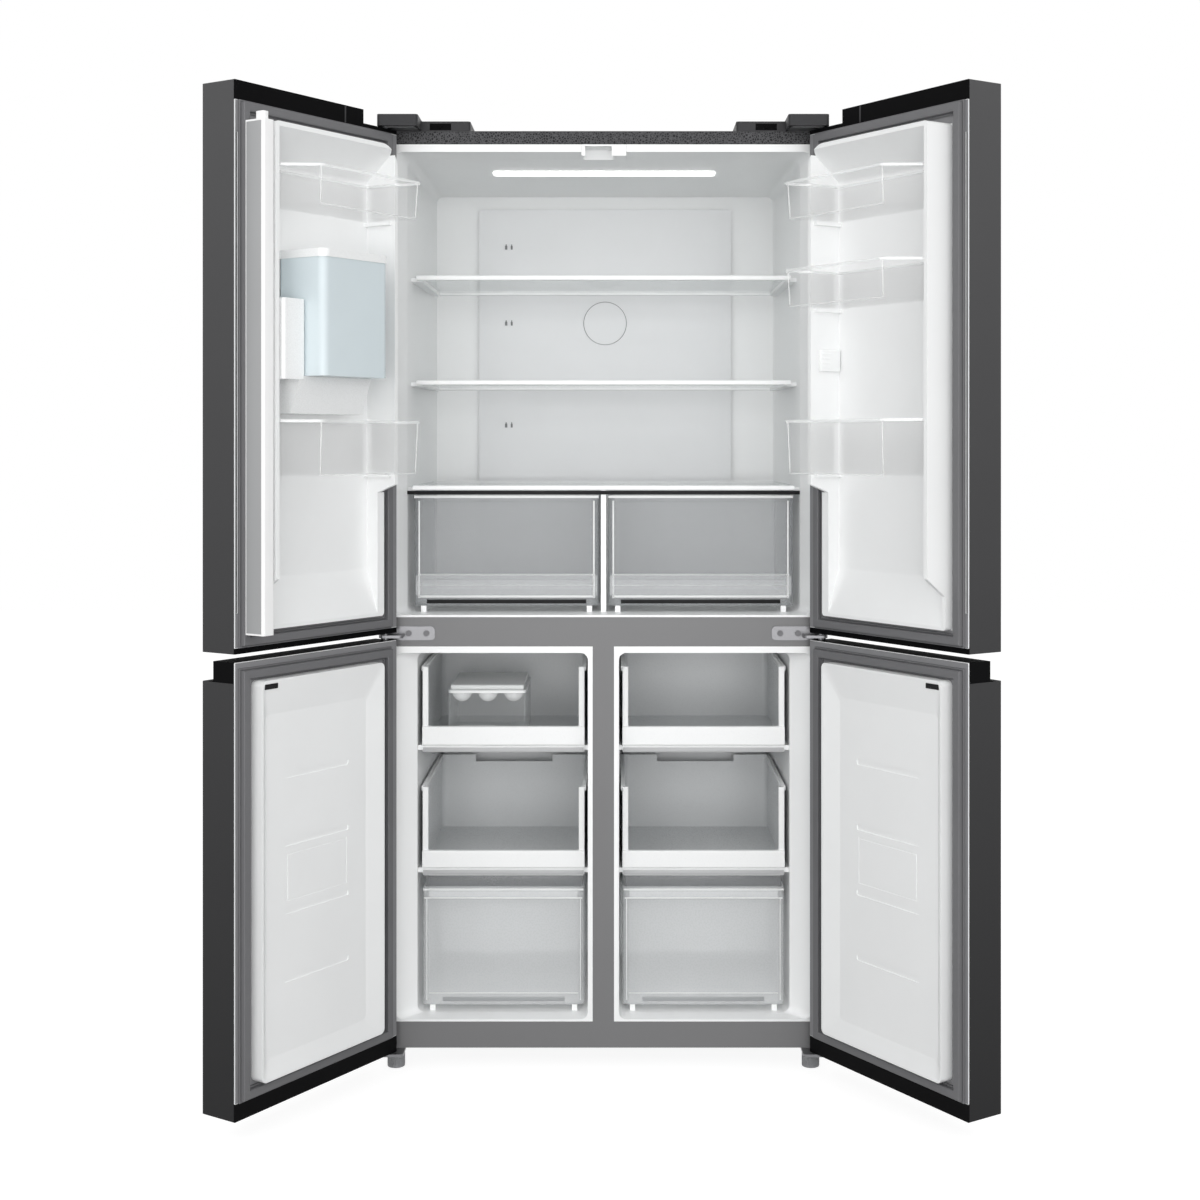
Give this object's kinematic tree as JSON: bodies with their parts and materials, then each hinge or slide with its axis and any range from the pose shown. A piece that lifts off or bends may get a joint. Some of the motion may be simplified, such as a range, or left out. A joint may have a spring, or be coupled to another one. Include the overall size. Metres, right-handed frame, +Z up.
{
  "type": "multi-door refrigerator",
  "caption": "Free-standing refrigerator with side-by-side fridge doors over freezer doors, glass shelves, clear drawers, door bins, a water tank and a folding centre post.",
  "frame": {"origin": "middle of the bounding box's base, on the floor, with the doors open as stored", "axes": "+Z up, -Y out of the doors towards the user, +X to the right of someone facing it"},
  "size_m": [1.346, 0.9766, 1.777],
  "materials": {
    "shell_paint": "satin",
    "back_sheet": "matt",
    "frame_paint": "satin",
    "trim_strip": "textured",
    "liner_white": "satin",
    "duct_white": "satin",
    "fin_metal": "bare",
    "fan_plastic": "matt",
    "compressor_paint": "gloss",
    "lamp_lens": "frosted",
    "guide_white": "matt",
    "hinge_steel": "plated",
    "cover_black": "satin",
    "screw_steel": "plated",
    "shelf_pane": "clear",
    "shelf_trim": "gloss",
    "drawer_clear": "translucent",
    "ice_plastic": "gloss",
    "foot_plastic": "matt",
    "roller_plastic": "matt",
    "door_paint": "satin",
    "cap_black": "satin",
    "door_white": "satin",
    "gasket_grey": "matt",
    "post_grey": "satin",
    "bin_clear": "translucent",
    "tank_blue": "translucent",
    "tank_white": "gloss",
    "paddle_grey": "gloss"
  },
  "bodies": {
    "cabinet": {"outer_shell": "shell_paint", "rear_panel": "back_sheet", "base_pan": "back_sheet", "top_trim": "trim_strip", "cross_beam": "frame_paint", "freezer_mullion": "frame_paint", "bottom_rail": "frame_paint", "fridge_liner": "liner_white", "freezer_liners": "liner_white", "fridge_duct_cover": "duct_white", "freezer_duct_covers": "duct_white", "evaporator": "fin_metal", "compressor": "compressor_paint", "machine_cover": "back_sheet", "ceiling_lamp": "lamp_lens", "mullion_guide": "guide_white", "hinge_brackets": "hinge_steel", "hinge_covers": "cover_black", "hinge_screws": "screw_steel", "shelf_glass": "shelf_pane", "shelf_frames": "shelf_trim"},
    "upper_left_door": {"upper_left_door_skin": "door_paint", "upper_left_door_caps": "cap_black", "upper_left_door_liner": "door_white", "upper_left_door_gasket": "gasket_grey", "dispenser_housing": "tank_white"},
    "upper_right_door": {"upper_right_door_skin": "door_paint", "upper_right_door_caps": "cap_black", "upper_right_door_liner": "door_white", "upper_right_door_gasket": "gasket_grey"},
    "lower_left_door": {"lower_left_door_skin": "door_paint", "lower_left_door_caps": "cap_black", "lower_left_door_liner": "door_white", "lower_left_door_gasket": "gasket_grey"},
    "lower_right_door": {"lower_right_door_skin": "door_paint", "lower_right_door_caps": "cap_black", "lower_right_door_liner": "door_white", "lower_right_door_gasket": "gasket_grey"},
    "flip_mullion": {"flip_mullion": "post_grey"},
    "left_door_bin_lower": {"left_door_bin_lower": "bin_clear"},
    "left_door_bin_upper": {"left_door_bin_upper": "bin_clear"},
    "right_door_bin_middle": {"right_door_bin_middle": "bin_clear"},
    "right_door_bin_lower": {"right_door_bin_lower": "bin_clear"},
    "right_door_bin_upper": {"right_door_bin_upper": "bin_clear"},
    "water_tank": {"water_tank": "tank_blue"},
    "tank_lid": {"tank_lid": "tank_white"},
    "dispenser_paddle": {"dispenser_paddle": "paddle_grey"},
    "crisper_left": {"crisper_left": "drawer_clear"},
    "crisper_right": {"crisper_right": "drawer_clear"},
    "freezer_drawer_upper_left": {"freezer_drawer_upper_left": "drawer_clear"},
    "freezer_drawer_upper_right": {"freezer_drawer_upper_right": "drawer_clear"},
    "freezer_drawer_middle_left": {"freezer_drawer_middle_left": "drawer_clear"},
    "freezer_drawer_middle_right": {"freezer_drawer_middle_right": "drawer_clear"},
    "freezer_drawer_lower_left": {"freezer_drawer_lower_left": "drawer_clear"},
    "freezer_drawer_lower_right": {"freezer_drawer_lower_right": "drawer_clear"},
    "ice_tray": {"ice_tray": "ice_plastic"},
    "front_foot_left": {"front_foot_left": "foot_plastic"},
    "front_foot_right": {"front_foot_right": "foot_plastic"},
    "rear_rollers": {"rear_rollers": "roller_plastic"},
    "evaporator_fan": {"evaporator_fan": "fan_plastic"}
  },
  "joints": [
    {"name": "upper_left_door_joint", "type": "hinge", "parent": "cabinet", "child": "upper_left_door", "pos_m": [-0.404, -0.1197, 1.2985], "axis": [0, 0, -1], "range_deg": [-123, 7]},
    {"name": "upper_right_door_joint", "type": "hinge", "parent": "cabinet", "child": "upper_right_door", "pos_m": [0.404, -0.1197, 1.2985], "axis": [0, 0, 1], "range_deg": [-123, 7]},
    {"name": "lower_left_door_joint", "type": "hinge", "parent": "cabinet", "child": "lower_left_door", "pos_m": [-0.404, -0.1197, 0.424], "axis": [0, 0, -1], "range_deg": [-123, 7]},
    {"name": "lower_right_door_joint", "type": "hinge", "parent": "cabinet", "child": "lower_right_door", "pos_m": [0.404, -0.1197, 0.424], "axis": [0, 0, 1], "range_deg": [-123, 7]},
    {"name": "flip_mullion_joint", "type": "hinge", "parent": "upper_left_door", "child": "flip_mullion", "pos_m": [-0.58561, -0.4638, 1.2805], "axis": [0, 0, 1], "range_deg": [-90, 0]},
    {"name": "left_door_bin_lower_joint", "type": "slide", "parent": "upper_left_door", "child": "left_door_bin_lower", "axis": [0, 0, 1], "range_m": [0, 0.007]},
    {"name": "left_door_bin_upper_joint", "type": "slide", "parent": "upper_left_door", "child": "left_door_bin_upper", "axis": [0, 0, 1], "range_m": [0, 0.008]},
    {"name": "right_door_bin_middle_joint", "type": "slide", "parent": "upper_right_door", "child": "right_door_bin_middle", "axis": [0, 0, 1], "range_m": [0, 0.035]},
    {"name": "right_door_bin_lower_joint", "type": "slide", "parent": "upper_right_door", "child": "right_door_bin_lower", "axis": [0, 0, 1], "range_m": [0, 0.035]},
    {"name": "right_door_bin_upper_joint", "type": "slide", "parent": "upper_right_door", "child": "right_door_bin_upper", "axis": [0, 0, 1], "range_m": [0, 0.008]},
    {"name": "water_tank_joint", "type": "slide", "parent": "upper_left_door", "child": "water_tank", "axis": [0, 0, 1], "range_m": [0, 0.03]},
    {"name": "tank_lid_joint", "type": "slide", "parent": "water_tank", "child": "tank_lid", "axis": [0, 0, 1], "range_m": [0, 0.03]},
    {"name": "dispenser_paddle_joint", "type": "hinge", "parent": "upper_left_door", "child": "dispenser_paddle", "pos_m": [-0.55534, -0.31235, 1.23104], "axis": [-0.5446, -0.8387, 0], "range_deg": [0, 10], "stiffness_Nm_per_rad": 0.4},
    {"name": "crisper_left_joint", "type": "slide", "parent": "cabinet", "child": "crisper_left", "axis": [0, -1, 0], "range_m": [0, 0.3]},
    {"name": "crisper_right_joint", "type": "slide", "parent": "cabinet", "child": "crisper_right", "axis": [0, -1, 0], "range_m": [0, 0.3]},
    {"name": "freezer_drawer_upper_left_joint", "type": "slide", "parent": "cabinet", "child": "freezer_drawer_upper_left", "axis": [0, -1, 0], "range_m": [0, 0.3]},
    {"name": "freezer_drawer_upper_right_joint", "type": "slide", "parent": "cabinet", "child": "freezer_drawer_upper_right", "axis": [0, -1, 0], "range_m": [0, 0.3]},
    {"name": "freezer_drawer_middle_left_joint", "type": "slide", "parent": "cabinet", "child": "freezer_drawer_middle_left", "axis": [0, -1, 0], "range_m": [0, 0.3]},
    {"name": "freezer_drawer_middle_right_joint", "type": "slide", "parent": "cabinet", "child": "freezer_drawer_middle_right", "axis": [0, -1, 0], "range_m": [0, 0.3]},
    {"name": "freezer_drawer_lower_left_joint", "type": "slide", "parent": "cabinet", "child": "freezer_drawer_lower_left", "axis": [0, -1, 0], "range_m": [0, 0.3]},
    {"name": "freezer_drawer_lower_right_joint", "type": "slide", "parent": "cabinet", "child": "freezer_drawer_lower_right", "axis": [0, -1, 0], "range_m": [0, 0.3]},
    {"name": "ice_tray_joint", "type": "slide", "parent": "freezer_drawer_upper_left", "child": "ice_tray", "axis": [0, 0, 1], "range_m": [0, 0.045]},
    {"name": "front_foot_left_joint", "type": "hinge", "parent": "cabinet", "child": "front_foot_left", "pos_m": [-0.39, -0.0717, 0], "axis": [0, 0, 1], "continuous": true},
    {"name": "front_foot_right_joint", "type": "hinge", "parent": "cabinet", "child": "front_foot_right", "pos_m": [0.39, -0.0717, 0], "axis": [0, 0, 1], "continuous": true},
    {"name": "rear_rollers_joint", "type": "hinge", "parent": "cabinet", "child": "rear_rollers", "pos_m": [0, 0.4383, 0.018], "axis": [1, 0, 0], "continuous": true},
    {"name": "evaporator_fan_joint", "type": "hinge", "parent": "cabinet", "child": "evaporator_fan", "pos_m": [-0.19, 0.3756, 0.69], "axis": [0, 1, 0], "continuous": true}
  ]
}
